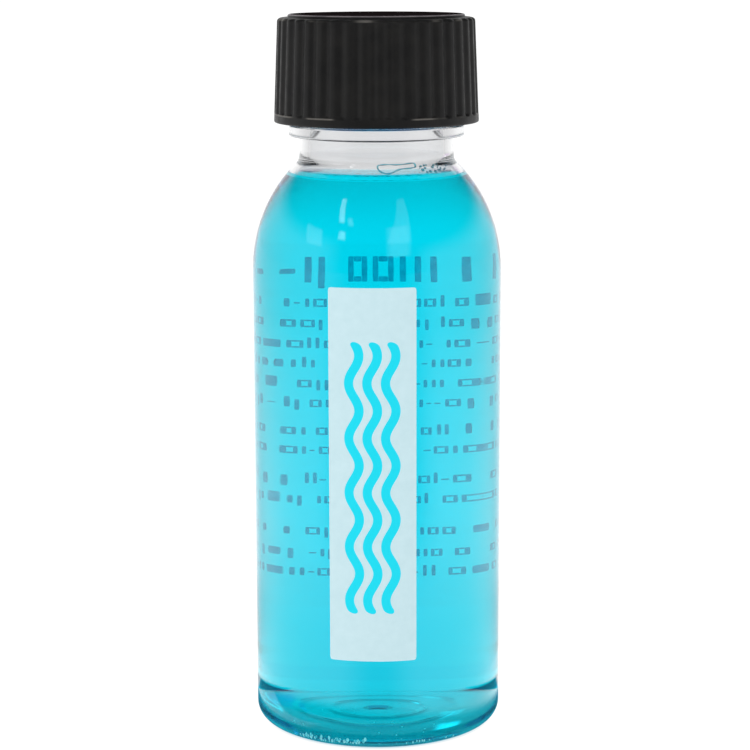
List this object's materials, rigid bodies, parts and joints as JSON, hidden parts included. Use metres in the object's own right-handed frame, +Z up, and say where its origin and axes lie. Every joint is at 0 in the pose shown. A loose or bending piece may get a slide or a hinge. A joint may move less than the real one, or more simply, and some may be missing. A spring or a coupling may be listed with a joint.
{
  "type": "mouthwash bottle",
  "caption": "Small clear plastic bottle of blue mouthwash with a ribbed black screw cap, a sealing liner, a pale front panel and a clear back label.",
  "frame": {"origin": "middle of the foot ring's plane, on the bottle's axis, at the bottom", "axes": "+Z up along the bottle's axis, -Y towards the viewer and the front label, +X to the right as seen from the front"},
  "size_m": [0.0286, 0.0288, 0.0827],
  "materials": {
    "clear_pet": "clear, high gloss",
    "blue_liquid": "clear liquid",
    "label_panel": "satin film",
    "clear_film": "clear film with small dark teal marks",
    "liner_foam": "matte foam",
    "cap_plastic": "semi-gloss moulded"
  },
  "bodies": {
    "bottle_body": {"bottle": "clear_pet", "liquid": "blue_liquid", "front_label": "label_panel", "back_label": "clear_film"},
    "liner_body": {"cap_liner": "liner_foam"},
    "cap_body": {"cap": "cap_plastic"}
  },
  "joints": [
    {"name": "cap_lift", "type": "slide", "parent": "bottle_body", "child": "liner_body", "axis": [0, 0, 1], "range_m": [0, 0.017]},
    {"name": "cap_turn", "type": "hinge", "parent": "liner_body", "child": "cap_body", "pos_m": [0, 0, 0.0765], "axis": [0, 0, 1], "range_deg": [0, 1440]}
  ],
  "couplings": [
    {"joint": "cap_lift", "follows": "cap_turn", "m_per_rad": 0.0006737}
  ]
}
